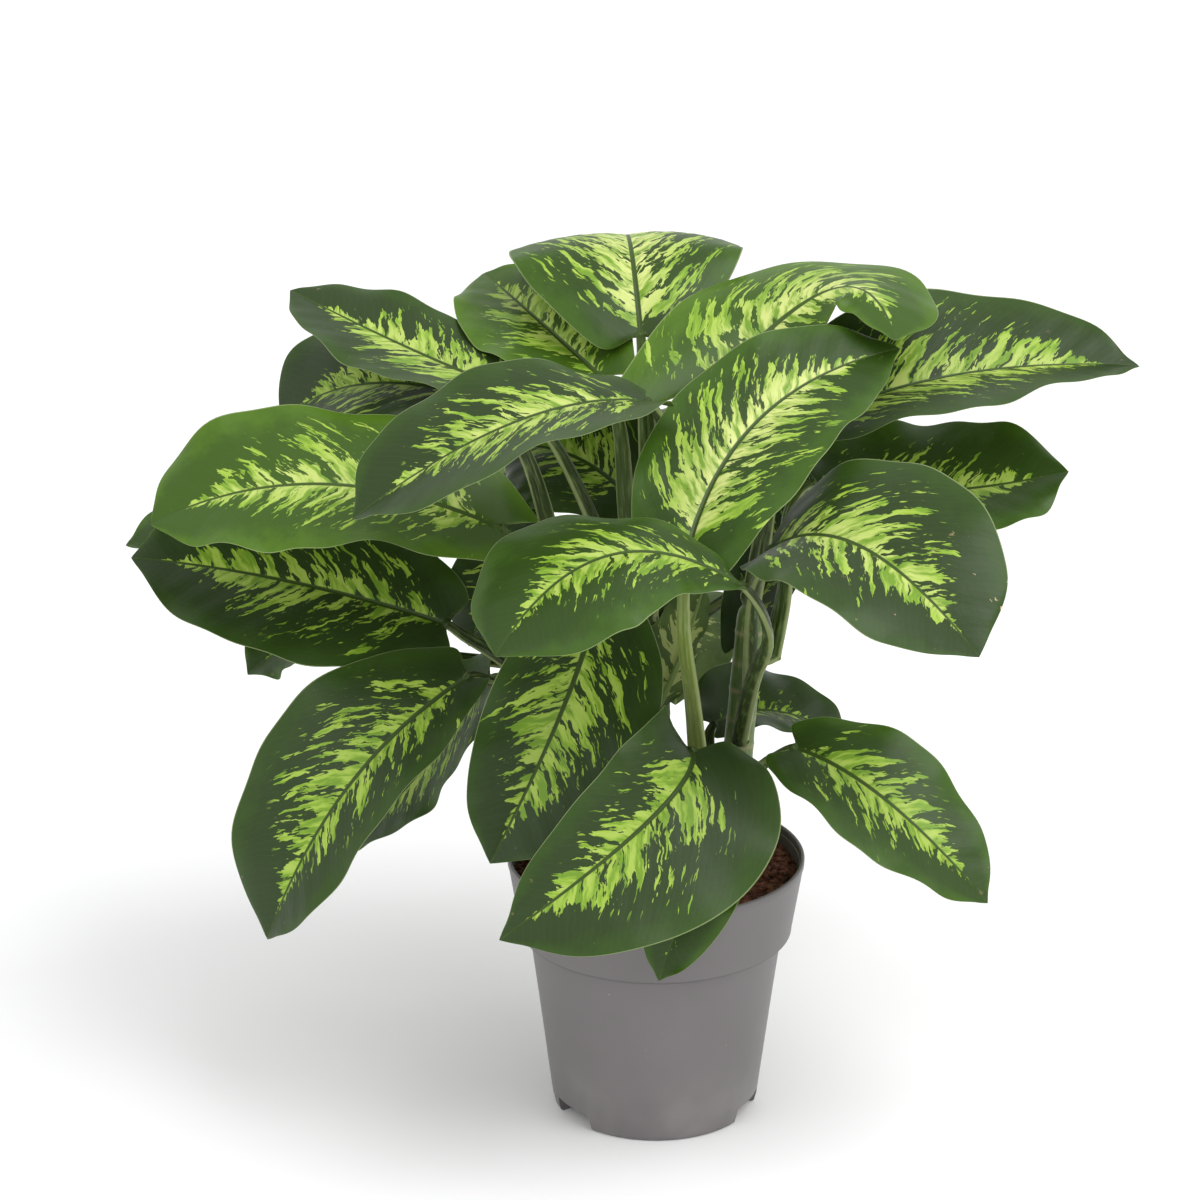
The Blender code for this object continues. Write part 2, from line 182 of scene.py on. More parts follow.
def round_corner(radius, height, size, start, end, steps):
    """Points of a rounded corner about (radius, height), between two angles."""
    points = []
    for step in range(steps + 1):
        turn_by = math.radians(start + (end - start) * step / steps)
        points.append((radius + size * math.cos(turn_by), height + size * math.sin(turn_by)))
    return points


pot_outline = [(0.0, 0.0090), (0.030, 0.0090), (wall_radius(0.009) - 0.0042, 0.0090)]
pot_outline += [(wall_radius(0.0115) - POT_WALL, 0.0115), (NECK_RADIUS - POT_WALL, BAND_FOOT)]
pot_outline += [(NECK_RADIUS - POT_WALL + 0.0012, BAND_FOOT + 0.0016)]
pot_outline += [(BAND_FOOT_RADIUS - POT_WALL, BAND_FOOT + 0.0042)]
pot_outline += [(RIM_RADIUS - 0.0030, POT_HEIGHT - 0.0052)]
pot_outline += [(RIM_RADIUS - 0.0030, POT_HEIGHT - 0.0046)]
pot_outline += [(RIM_RADIUS - 0.0024, POT_HEIGHT - 0.0042)]
pot_outline += round_corner(RIM_RADIUS - 0.0011, POT_HEIGHT - 0.0011, 0.0011, 180, 0, 8)
pot_outline += [(RIM_RADIUS - 0.0001, POT_HEIGHT - 0.0040)]
pot_outline += [(RIM_RADIUS - 0.0006, POT_HEIGHT - 0.0050)]
pot_outline += [(BAND_FOOT_RADIUS + 0.0003, BAND_FOOT + 0.0034)]
pot_outline += round_corner(BAND_FOOT_RADIUS - 0.0014, BAND_FOOT + 0.0018, 0.0016, 0, -80, 4)
pot_outline += [(NECK_RADIUS + 0.0010, BAND_FOOT - 0.0002), (NECK_RADIUS, BAND_FOOT - 0.0016)]
pot_outline += [(wall_radius(0.070), 0.070), (wall_radius(0.035), 0.035)]
pot_outline += [(wall_radius(0.0060), 0.0060)]
pot_outline += round_corner(BASE_RADIUS - 0.0026, 0.0024, 0.0024, 0, -90, 4)
pot_outline += [(BASE_RADIUS - 0.0066, 0.0), (BASE_RADIUS - 0.0076, 0.0065)]
pot_outline += [(0.0240, 0.0065), (0.0206, 0.0006), (0.0196, 0.0), (0.0, 0.0)]

pot_shape = turn(pot_outline, 144)
pot_mesh = bpy.data.meshes.new("pot_blank")
pot_shape.to_mesh(pot_mesh)
pot_shape.free()
pot_blank = bpy.data.objects.new("pot_blank", pot_mesh)
bpy.context.scene.collection.objects.link(pot_blank)
notch_shape = bmesh.new()
for notch_angle in NOTCH_ANGLES:
    facing = Matrix.Rotation(math.radians(notch_angle), 4, "Z")
    spot = facing @ Matrix.Translation((BASE_RADIUS, 0, 0))
    block = bmesh.ops.create_cube(notch_shape, size=1.0, matrix=spot @ Matrix.Diagonal(NOTCH_SIZE))
    upright = [edge for vert in block["verts"] for edge in vert.link_edges]
    bmesh.ops.bevel(notch_shape, geom=list(dict.fromkeys(upright)), offset=0.0015,
                    offset_type="OFFSET", affect="EDGES", segments=3, profile=0.5, material=-1)
notch_mesh = bpy.data.meshes.new("pot_notches")
notch_shape.to_mesh(notch_mesh)
notch_shape.free()
notches = bpy.data.objects.new("pot_notches", notch_mesh)
bpy.context.scene.collection.objects.link(notches)
cut = pot_blank.modifiers.new("notches", "BOOLEAN")
cut.operation = "DIFFERENCE"
cut.object = notches
bpy.context.view_layer.update()
depsgraph = bpy.context.evaluated_depsgraph_get()
cut_mesh = bpy.data.meshes.new_from_object(pot_blank.evaluated_get(depsgraph))
cut_shape = bmesh.new()
cut_shape.from_mesh(cut_mesh)
for leftover in (pot_blank, notches):
    bpy.data.objects.remove(leftover, do_unlink=True)
for old in (pot_mesh, notch_mesh, cut_mesh):
    bpy.data.meshes.remove(old)
sharp = [edge for edge in cut_shape.edges
         if len(edge.link_faces) == 2 and edge.calc_face_angle() > math.radians(SHARP_ANGLE)]
for edge in sharp:
    edge.smooth = False

pot_plastic, tree, shader = new_finish("pot plastic", Specular_IOR_Level=0.42)
place = add_node(tree, "ShaderNodeTexCoord").outputs["Object"]
cloud = speckle(tree, place, 0.045, 3.0)
fine = speckle(tree, place, 0.0009, 2.0)
scuff_map = add_node(tree, "ShaderNodeMapping", {"Vector": place, "Scale": (1.0, 1.0, 2.6)})
scuffs = ease(tree, speckle(tree, scuff_map.outputs[0], 0.0042, 5.0, 0.7), 0.705, 0.730)
height = add_node(tree, "ShaderNodeSeparateXYZ", {"Vector": place}).outputs["Z"]
dust = reckon(tree, "MULTIPLY", ease(tree, height, 0.050, 0.0), ease(tree, cloud, 0.35, 0.75))
tone = blend_colours(tree, cloud, (0.142, 0.130, 0.133, 1.0), (0.176, 0.163, 0.166, 1.0))
tone = blend_colours(tree, reckon(tree, "MULTIPLY", dust, 0.30), tone, (0.36, 0.34, 0.33, 1.0))
tone = blend_colours(tree, reckon(tree, "MULTIPLY", scuffs, 0.45), tone, (0.62, 0.60, 0.60, 1.0))
# Painted shadow: a thin dark line at the band's foot, where the overhanging band shades the wall just
# below it
band_foot_shadow = reckon(tree, "ABSOLUTE", reckon(tree, "SUBTRACT", height, BAND_FOOT - 0.0002))
band_foot_shadow = reckon(tree, "MULTIPLY", ease(tree, band_foot_shadow, 0.0024, 0.0006), 0.62)
tone = blend_colours(tree, band_foot_shadow, tone, (0.040, 0.036, 0.036, 1.0))
tree.links.new(tone, shader.inputs["Base Color"])
rough = reckon(tree, "MULTIPLY_ADD", cloud, 0.16, 0.38)
tree.links.new(reckon(tree, "MULTIPLY_ADD", scuffs, 0.2, rough), shader.inputs["Roughness"])
add_bump(tree, shader, reckon(tree, "MULTIPLY_ADD", fine, 0.35, scuffs), 0.00006)
put_in_scene("pot_shell", cut_shape, [pot_plastic], ["pot"])


# ---------------------------------------------------------------------------
# Soil: coarse reddish peat, heaped a little towards the middle and broken up
# on top into lumps and fibres. The plug is one turned piece; the loose crumbs
# and the fibres are small shapes scattered over it.
# ---------------------------------------------------------------------------
SOIL_RADIUS = 0.0815
SOIL_LEVEL = 0.1425
CRUMB_COUNT = 1500
CRUMB_SIZES = (0.0006, 0.0008, 0.0011, 0.0016, 0.0023)
FIBRE_COUNT = 150


def soil_height(x, y):
    reach = min(1.0, math.hypot(x, y) / SOIL_RADIUS)
    lumps = noise.fractal(Vector((x, y, 0.3)) * 70.0, 0.9, 2.1, 4)
    clods = noise.noise(Vector((x, y, 4.0)) * 230.0)
    return SOIL_LEVEL + 0.0022 * (1.0 - reach ** 2) + 0.0016 * lumps + 0.0008 * clods


soil_outline = [(0.0, SOIL_LEVEL)] + [(SOIL_RADIUS * step / 60, SOIL_LEVEL) for step in range(1, 61)]
soil_outline += [(BAND_FOOT_RADIUS - 0.0032, BAND_FOOT + 0.006), (NECK_RADIUS - 0.0030, BAND_FOOT)]
soil_outline += [(wall_radius(0.014) - 0.0026, 0.0140)]
soil_outline += [(wall_radius(0.010) - 0.007, 0.0096), (0.0, 0.0096)]
soil_shape = turn(soil_outline, 160)
for vert in soil_shape.verts:
    if vert.co.z > SOIL_LEVEL - 0.0001:
        vert.co.z = soil_height(vert.co.x, vert.co.y)

peat, tree, shader = new_finish("peat", Specular_IOR_Level=0.25)
place = add_node(tree, "ShaderNodeTexCoord").outputs["Object"]
broad = speckle(tree, place, 0.018, 4.0)
crumbly = speckle(tree, place, 0.0032, 5.0, 0.7)
grit = speckle(tree, place, 0.0011, 3.0, 0.7)
tone = blend_colours(tree, ease(tree, crumbly, 0.38, 0.66),
                     (0.045, 0.018, 0.011, 1.0), (0.235, 0.088, 0.052, 1.0))
redder = reckon(tree, "MULTIPLY", ease(tree, broad, 0.45, 0.70), 0.6)
tone = blend_colours(tree, redder, tone, (0.310, 0.125, 0.075, 1.0))
paler = reckon(tree, "MULTIPLY", ease(tree, grit, 0.62, 0.72), 0.5)
tone = blend_colours(tree, paler, tone, (0.36, 0.20, 0.13, 1.0))
tree.links.new(tone, shader.inputs["Base Color"])
tree.links.new(reckon(tree, "MULTIPLY_ADD", crumbly, -0.2, 0.98), shader.inputs["Roughness"])
add_bump(tree, shader, reckon(tree, "MULTIPLY_ADD", grit, 0.5, crumbly), 0.0009)
put_in_scene("soil_plug", soil_shape, [peat], ["soil"])

crumb_shape = bmesh.new()
shaker = random.Random(11)
noise.seed_set(11)  # noise_vector is otherwise seeded by the clock
for crumb in range(CRUMB_COUNT):
    reach = (SOIL_RADIUS - 0.0015) * math.sqrt(shaker.random())
    bearing = shaker.uniform(0.0, math.tau)
    x = reach * math.cos(bearing)
    y = reach * math.sin(bearing)
    size = shaker.choice(CRUMB_SIZES)
    spin = Matrix.Rotation(shaker.uniform(0, math.tau), 4, shaker.choice("XYZ"))
    stretch = Matrix.Diagonal((size * shaker.uniform(0.9, 1.9), size * shaker.uniform(0.7, 1.2),
                               size * 0.8, 1))
    rest_at = Matrix.Translation((x, y, soil_height(x, y) + size * 0.2))
    lump = bmesh.ops.create_icosphere(crumb_shape, subdivisions=1, radius=1.0,
                                      matrix=rest_at @ spin @ stretch)
    for vert in lump["verts"]:
        vert.co += noise.noise_vector(vert.co * 900.0) * size * 0.35
for fibre in range(FIBRE_COUNT):
    reach = (SOIL_RADIUS - 0.008) * math.sqrt(shaker.random())
    bearing = shaker.uniform(0.0, math.tau)
    x = reach * math.cos(bearing)
    y = reach * math.sin(bearing)
    length = shaker.uniform(0.004, 0.011)
    heading = Matrix.Rotation(shaker.uniform(0, math.tau), 4, "Z")
    lie = heading @ Matrix.Rotation(shaker.uniform(1.2, 1.75), 4, "Y")
    rest_at = Matrix.Translation((x, y, soil_height(x, y) + 0.0009))
    bmesh.ops.create_cone(crumb_shape, cap_ends=True, segments=5, radius1=0.00028,
                          radius2=0.00014, depth=length, matrix=rest_at @ lie)
put_in_scene("soil_crumbs", crumb_shape, [peat], ["soil"])


# ---------------------------------------------------------------------------
# Canes: short fleshy stems, smooth and light green, with a ring where each old
# leaf dropped. Each is drawn out from a rounded rod along its cane, and goes
# down into the peat.
# ---------------------------------------------------------------------------
CANES = ("cane_front", "cane_left", "cane_crown", "cane_right", "cane_back")
CANE_ROWS = 72
RING_SPACING = 0.017
BURIED_LENGTH = 0.009
END_STARTS = 0.93
cane_lines = {}


def cad_copy(node):
    """The node's mesh, with its loose triangles joined up."""
    shape = bmesh.new()
    shape.from_mesh(frame["nodes"][node].data)
    bmesh.ops.remove_doubles(shape, verts=shape.verts, dist=1e-6)
    shape.verts.index_update()
    shape.verts.ensure_lookup_table()
    return shape


cane_skin, tree, shader = new_finish("cane skin", Specular_IOR_Level=0.45, Coat_Roughness=0.3)
place = add_node(tree, "ShaderNodeTexCoord").outputs["Object"]
ring_mark = add_node(tree, "ShaderNodeAttribute", attribute_name="ring").outputs["Fac"]
long_map = add_node(tree, "ShaderNodeMapping", {"Vector": place, "Scale": (1.0, 1.0, 0.12)})
streak = speckle(tree, long_map.outputs[0], 0.0016, 3.0)
patch = speckle(tree, place, 0.020, 3.0)
tone = blend_colours(tree, patch, (0.060, 0.115, 0.020, 1.0), (0.130, 0.205, 0.042, 1.0))
streaked = reckon(tree, "MULTIPLY", ease(tree, streak, 0.5, 0.7), 0.35)
tone = blend_colours(tree, streaked, tone, (0.36, 0.46, 0.16, 1.0))
tone = blend_colours(tree, reckon(tree, "MULTIPLY", ring_mark, 0.75), tone,
                     (0.33, 0.29, 0.15, 1.0))
tree.links.new(tone, shader.inputs["Base Color"])
tree.links.new(reckon(tree, "MULTIPLY_ADD", streak, 0.25, 0.32), shader.inputs["Roughness"])
add_bump(tree, shader, streak, 0.0002)

for cane in CANES:
    cad = cad_copy(cane)
    by_height = sorted(cad.verts, key=lambda vert: vert.co.z)
    low = sum((vert.co for vert in by_height[:8]), Vector()) / 8
    high = sum((vert.co for vert in by_height[-8:]), Vector()) / 8
    girth = (by_height[0].co - low).length / 1.08
    cad.free()
    cane_lines[cane] = (low, high)
    buried = low - (high - low).normalized() * BURIED_LENGTH
    rod = bmesh.new()
    bmesh.ops.create_uvsphere(rod, u_segments=28, v_segments=CANE_ROWS, radius=1.0)
    ring = rod.verts.layers.float.new("ring")
    for vert in rod.verts:
        level = math.acos(max(-1.0, min(1.0, -vert.co.z))) / math.pi
        bearing = math.atan2(vert.co.y, vert.co.x)
        travel = level * (high - buried).length
        off_ring = abs((travel / RING_SPACING) % 1.0 - 0.5) * RING_SPACING
        mark = math.exp(-(off_ring / 0.0011) ** 2)
        taper = 1.08 - 0.16 * level
        end = 1.0
        if level > END_STARTS:
            end = math.sqrt(max(0.0, 1.0 - max(0.0, (level - END_STARTS) / 0.07) ** 2))
        if level < 0.001:
            end = 0.0
        ripple = 0.012 * math.sin(bearing * 3 + travel * 200)
        size = girth * taper * end * (1.0 + 0.045 * mark + ripple)
        centre = buried.lerp(high, level)
        vert.co = centre + Vector((math.cos(bearing) * size, math.sin(bearing) * size, 0.0))
        vert[ring] = mark
    put_in_scene(cane + "_stem", rod, [cane_skin], [cane])


# ---------------------------------------------------------------------------
# Leaf finish: each leaf is dark green with a flame-edged cream to lime blotch
# along both sides of its midrib, and a paler matt underside. One group paints
# them all, from each leaf's own lengthways and crossways coordinates.
# ---------------------------------------------------------------------------
leaf_paint, given, result = new_group(
    "Leaf blotches",
    (("Seed", "NodeSocketFloat", 0.0), ("Reach", "NodeSocketFloat", 0.62),
     ("Fullness", "NodeSocketFloat", 0.5), ("Cream", "NodeSocketFloat", 0.4),
     ("Scars", "NodeSocketFloat", 0.0),
     ("Green", "NodeSocketColor", (0.026, 0.060, 0.012, 1.0)),
     ("Edge Green", "NodeSocketColor", (0.036, 0.095, 0.014, 1.0)),
     ("Stalk Green", "NodeSocketColor", (0.050, 0.100, 0.020, 1.0))),
    (("Color", "NodeSocketColor"), ("Roughness", "NodeSocketFloat"), ("Height", "NodeSocketFloat")))
tree = leaf_paint
blade = add_node(tree, "ShaderNodeAttribute", attribute_name="blade").outputs["Vector"]
measure = add_node(tree, "ShaderNodeAttribute", attribute_name="measure").outputs["Vector"]
split = add_node(tree, "ShaderNodeSeparateXYZ", {"Vector": blade})
along, across, under = split.outputs
split = add_node(tree, "ShaderNodeSeparateXYZ", {"Vector": measure})
travel, width, stalk = split.outputs
seed = given.outputs["Seed"]
reach_out = reckon(tree, "ABSOLUTE", width)
share_out = reckon(tree, "ABSOLUTE", across)
half = reckon(tree, "MULTIPLY_ADD", reckon(tree, "SIGN", width), 4.3, seed)

# Side veins leave the midrib at a slant and bend on towards the tip
bend = reckon(tree, "MULTIPLY", reckon(tree, "MULTIPLY", reach_out, reach_out), 6.0)
lean = reckon(tree, "MULTIPLY_ADD", reach_out, 0.75, bend)
vein = reckon(tree, "SUBTRACT", travel, lean)
wander_at = add_node(tree, "ShaderNodeCombineXYZ", {"X": travel, "Y": width, "Z": seed}).outputs[0]
wander = reckon(tree, "SUBTRACT", speckle(tree, wander_at, 0.016, 2.0), 0.5)
vein_bent = reckon(tree, "MULTIPLY_ADD", wander, 0.010, vein)


def vein_noise(width_of, length_of, offset, detail, roughness):
    """Noise drawn out along the side veins; sizes in metres."""
    spot = add_node(tree, "ShaderNodeCombineXYZ",
                    {"X": reckon(tree, "DIVIDE", vein_bent, width_of),
                     "Y": reckon(tree, "DIVIDE", reach_out, length_of),
                     "Z": reckon(tree, "ADD", half, offset)}).outputs[0]
    return add_node(tree, "ShaderNodeTexNoise",
                    {"Vector": spot, "Scale": 1.0, "Detail": detail,
                     "Roughness": roughness}).outputs["Fac"]


flames = vein_noise(0.0062, 0.021, 0.0, 3.0, 0.58)
jags = vein_noise(0.0024, 0.0060, 31.0, 3.0, 0.6)
flecks = vein_noise(0.0028, 0.0075, 57.0, 2.0, 0.5)
shades = vein_noise(0.0045, 0.016, 83.0, 3.0, 0.6)
window = reckon(tree, "MULTIPLY", ease(tree, along, -0.02, 0.20), ease(tree, along, 0.97, 0.52))
extent = reckon(tree, "ADD", reckon(tree, "MULTIPLY", given.outputs["Reach"], window), 0.0001)
depth_in = reckon(tree, "SUBTRACT", 1.0, reckon(tree, "DIVIDE", share_out, extent))
fuller = reckon(tree, "SUBTRACT", given.outputs["Fullness"], 1.02)
cover = reckon(tree, "MULTIPLY_ADD", depth_in, 1.05, fuller)
cover = reckon(tree, "MULTIPLY_ADD", reckon(tree, "SUBTRACT", flames, 0.5), 5.0, cover)
cover = reckon(tree, "MULTIPLY_ADD", reckon(tree, "SUBTRACT", jags, 0.5), 2.4, cover)
blotch = ease(tree, cover, -0.03, 0.09)
fleck_zone = ease(tree, depth_in, -0.45, 0.05)
fleck_here = reckon(tree, "MULTIPLY", ease(tree, flecks, 0.665, 0.690), fleck_zone)
blotch = reckon(tree, "MAXIMUM", blotch, fleck_here)
rib_width = reckon(tree, "MULTIPLY_ADD", along, -0.0012, 0.0018)
rib = ease(tree, reckon(tree, "SUBTRACT", reach_out, rib_width), -0.0004, 0.0003)
blotch = reckon(tree, "MULTIPLY", blotch, rib)

creamy = reckon(tree, "MULTIPLY", ease(tree, depth_in, 0.15, 1.0), given.outputs["Cream"])
creamy = reckon(tree, "MULTIPLY_ADD", reckon(tree, "SUBTRACT", shades, 0.45), 1.1, creamy,
                clamp=True)
pale = blend_colours(tree, creamy, (0.285, 0.455, 0.034, 1.0), (0.600, 0.660, 0.230, 1.0))
dull_pale = blend_colours(tree, ease(tree, shades, 0.58, 0.36), pale, (0.155, 0.290, 0.022, 1.0))
mottle = speckle(tree, wander_at, 0.011, 4.0, 0.6)
to_edge = reckon(tree, "MULTIPLY_ADD", reckon(tree, "SUBTRACT", mottle, 0.5), 0.6, share_out)
to_edge = ease(tree, to_edge, 0.55, 1.05)
skin = blend_colours(tree, to_edge, given.outputs["Green"], given.outputs["Edge Green"])
vein_tone = reckon(tree, "SINE", reckon(tree, "MULTIPLY", vein_bent, math.tau / 0.0052))
vein_line = reckon(tree, "MULTIPLY", ease(tree, vein_tone, 0.80, 1.0), 0.05)
skin = blend_colours(tree, vein_line, skin, (0.075, 0.170, 0.045, 1.0))
top_side = blend_colours(tree, blotch, skin, dull_pale)
rib_tone = reckon(tree, "MULTIPLY", reckon(tree, "SUBTRACT", 1.0, rib), 0.8)
top_side = blend_colours(tree, rib_tone, top_side, (0.042, 0.080, 0.010, 1.0))

# The underside is paler, and the blotches show through it
back = blend_colours(tree, ease(tree, mottle, 0.35, 0.7),
                     (0.044, 0.080, 0.013, 1.0), (0.072, 0.118, 0.020, 1.0))
back = blend_colours(tree, reckon(tree, "MULTIPLY", blotch, 0.75), back,
                     (0.370, 0.430, 0.135, 1.0))
back_rib = reckon(tree, "MULTIPLY", reckon(tree, "SUBTRACT", 1.0, rib), 0.7)
back = blend_colours(tree, back_rib, back, (0.180, 0.260, 0.070, 1.0))

# Old leaves dry out in tan spots towards the tip, and every margin has a pale line
dry = ease(tree, speckle(tree, wander_at, 0.0062, 3.0, 0.6), 0.700, 0.725)
dry = reckon(tree, "MULTIPLY", dry, ease(tree, along, 0.45, 0.95))
dry = reckon(tree, "MULTIPLY", dry, given.outputs["Scars"])
top_side = blend_colours(tree, dry, top_side, (0.560, 0.400, 0.210, 1.0))
both = blend_colours(tree, under, top_side, back)
margin = ease(tree, share_out, 0.985, 0.996)
both = blend_colours(tree, reckon(tree, "MULTIPLY", margin, 0.55), both, (0.420, 0.520, 0.220, 1.0))

# Petioles are streaked lengthways, with pale edges to the sheath
slow_travel = reckon(tree, "MULTIPLY", travel, 0.1)
stem_at = add_node(tree, "ShaderNodeCombineXYZ", {"X": slow_travel, "Y": width, "Z": seed})
stem_streak = speckle(tree, stem_at.outputs[0], 0.0012, 3.0)
stem = blend_colours(tree, reckon(tree, "MULTIPLY", ease(tree, stem_streak, 0.45, 0.75), 0.35),
                     given.outputs["Stalk Green"], (0.300, 0.400, 0.140, 1.0))
sheath_edge = reckon(tree, "MULTIPLY", ease(tree, share_out, 0.84, 0.96), 0.55)
stem = blend_colours(tree, sheath_edge, stem, (0.340, 0.400, 0.160, 1.0))
both = blend_colours(tree, stalk, both, stem)
tree.links.new(both, result.inputs["Color"])
gloss = reckon(tree, "MULTIPLY_ADD", mottle, 0.16, 0.33)
gloss = reckon(tree, "MULTIPLY_ADD", under, 0.22, gloss)
tree.links.new(gloss, result.inputs["Roughness"])
swell = reckon(tree, "MULTIPLY", vein_tone, reckon(tree, "SUBTRACT", 1.0, stalk))
swell = reckon(tree, "MULTIPLY_ADD", mottle, 1.2, reckon(tree, "MULTIPLY", swell, 0.04))
tree.links.new(swell, result.inputs["Height"])


def leaf_finish(name, seed, reach, fullness, cream, scars, greens):
    finish, tree, shader = new_finish(name, Specular_IOR_Level=0.28)
    paint = add_node(tree, "ShaderNodeGroup", node_tree=leaf_paint)
    values = (("Seed", seed), ("Reach", reach), ("Fullness", fullness), ("Cream", cream),
              ("Scars", scars), ("Green", greens[0]), ("Edge Green", greens[1]),
              ("Stalk Green", greens[2]))
    for label, value in values:
        paint.inputs[label].default_value = value
    tree.links.new(paint.outputs["Color"], shader.inputs["Base Color"])
    tree.links.new(paint.outputs["Roughness"], shader.inputs["Roughness"])
    add_bump(tree, shader, paint.outputs["Height"], 0.00022)
    return finish


# ---------------------------------------------------------------------------
# Leaf shape: petiole, midrib and blade are one closed skin, drawn out from a
# sphere. The leaf's courses in the model give the line of the midrib and the
# two halves; between them the margins are rounded and gently waved.
# ---------------------------------------------------------------------------
COLUMNS = 32
STALK_ROWS = 4
BLADE_ROWS = 9
BLADE_COURSES = 9
INNER_SHARE = 0.55
BLADE_THICKNESS = 0.0007


def nearest_on_cane(spot):
    """The closest point on any cane's middle line, and that cane's direction."""
    best = None
    for low, high in cane_lines.values():
        run = high - low
        share = max(0.0, min(1.0, (spot - low).dot(run) / run.length_squared))
        point = low.lerp(high, share)
        if best is None or (spot - point).length < best[0]:
            best = ((spot - point).length, point, run.normalized())
    return best[1], best[2]


def neighbours(vert):
    return [edge.other_vert(vert).index for edge in vert.link_edges]


def leaf_courses(node):
    """Foot, thirteen courses of eight points and tip of a leaf in the model.

    Each course is ordered left edge, left, midrib, right, right edge, then the underside.
    """
    cad = cad_copy(node)
    verts = cad.verts
    ends = []
    for start in (vert for vert in verts if len(vert.link_edges) == 8):
        levels = [[start.index]]
        seen = {start.index}
        while levels[-1]:
            beside = {other for spot in levels[-1] for other in neighbours(verts[spot])}
            ahead = sorted(beside - seen)
            seen.update(ahead)
            levels.append(ahead)
        levels.pop()
        if [len(level) for level in levels] == [1] + [8] * 13 + [1]:
            spread = max((verts[spot].co - start.co).length for spot in levels[1])
            ends.append((spread, levels))
    levels = min(ends)[1]
    courses = []
    for level in levels[1:-1]:
        ring = [level[0]]
        while len(ring) < 8:
            ring.append(next(other for other in neighbours(verts[ring[-1]])
                             if other in level and other not in ring))
        courses.append([verts[spot].co.copy() for spot in ring])
    foot = verts[levels[0][0]].co.copy()
    tip = verts[levels[-1][0]].co.copy()
    cad.free()
    for count in range(1, 13):
        courses[count] = line_up(courses[count], courses[count - 1])
    left, ahead = find_sides(courses)
    ordered = [[course[(left + ahead * step) % 8] for step in range(8)] for course in courses]
    return foot, ordered, tip


def offsets(course):
    middle = sum(course, Vector()) / 8
    size = max((point - middle).length for point in course)
    return [(point - middle) / size for point in course]


def line_up(course, before):
    """Turns a course round so that its points follow those of the one before."""
    aims = offsets(before)
    best = None
    for step in (1, -1):
        for start in range(8):
            trial = [course[(start + step * slot) % 8] for slot in range(8)]
            miss = sum((a - b).length_squared for a, b in zip(offsets(trial), aims))
            if best is None or miss < best[0]:
                best = (miss, trial)
    return best[1]


def find_sides(courses):
    """Which point of a course is the left edge, and which way round the top lies."""
    middle_courses = courses[7:11]
    spans = [sum((course[slot] - course[slot + 4]).length for course in middle_courses)
             for slot in range(4)]
    edge = spans.index(max(spans))
    score = 0.0
    for course in middle_courses:
        score += ((course[(edge - 1) % 8] - course[edge]).length
                  - (course[(edge + 1) % 8] - course[edge]).length)
    ahead = 1 if score > 0.0 else -1
    course = courses[8]
    far = (edge + 4) % 8
    forward = courses[9][edge] + courses[9][far] - courses[7][edge] - courses[7][far]
    up = course[(edge + 2 * ahead) % 8] - course[(edge - 2 * ahead) % 8]
    right = forward.cross(up)
    if (course[edge] - course[(edge + 4) % 8]).dot(right) > 0.0:
        return (edge + 4) % 8, -ahead
    return edge, ahead


def flow(points, spot):
    """A smooth curve through points, one apart along spot, and its direction."""
    last = len(points) - 1
    start = max(0, min(last - 1, int(math.floor(spot))))
    t = spot - start
    b = points[start]
    c = points[start + 1]
    a = points[start - 1] if start > 0 else b * 2.0 - c
    d = points[start + 2] if start + 2 <= last else c * 2.0 - b
    place = ((b * 2.0) + (c - a) * t + (a * 2.0 - b * 5.0 + c * 4.0 - d) * t * t
             + (b * 3.0 - a - c * 3.0 + d) * t ** 3) * 0.5
    heading = ((c - a) + (a * 2.0 - b * 5.0 + c * 4.0 - d) * 2.0 * t
               + (b * 3.0 - a - c * 3.0 + d) * 3.0 * t * t) * 0.5
    return place, heading


def crossways(points, share):
    """Place and direction across a blade, from -1 at the left edge to 1 at the right."""
    left, inner_left, middle, inner_right, right = points
    inner, edge = (inner_left, left) if share < 0.0 else (inner_right, right)
    out = abs(share)
    k = INNER_SHARE
    a = (out - k) * (out - 1.0) / k
    b = out * (out - 1.0) / (k * (k - 1.0))
    c = out * (out - k) / (1.0 - k)
    place = middle * a + inner * b + edge * c
    slope = (middle * ((2.0 * out - k - 1.0) / k)
             + inner * ((2.0 * out - 1.0) / (k * (k - 1.0)))
             + edge * ((2.0 * out - k) / (1.0 - k)))
    return place, slope * (-1.0 if share < 0.0 else 1.0)


def smooth(value):
    value = max(0.0, min(1.0, value))
    return value * value * (3.0 - 2.0 * value)


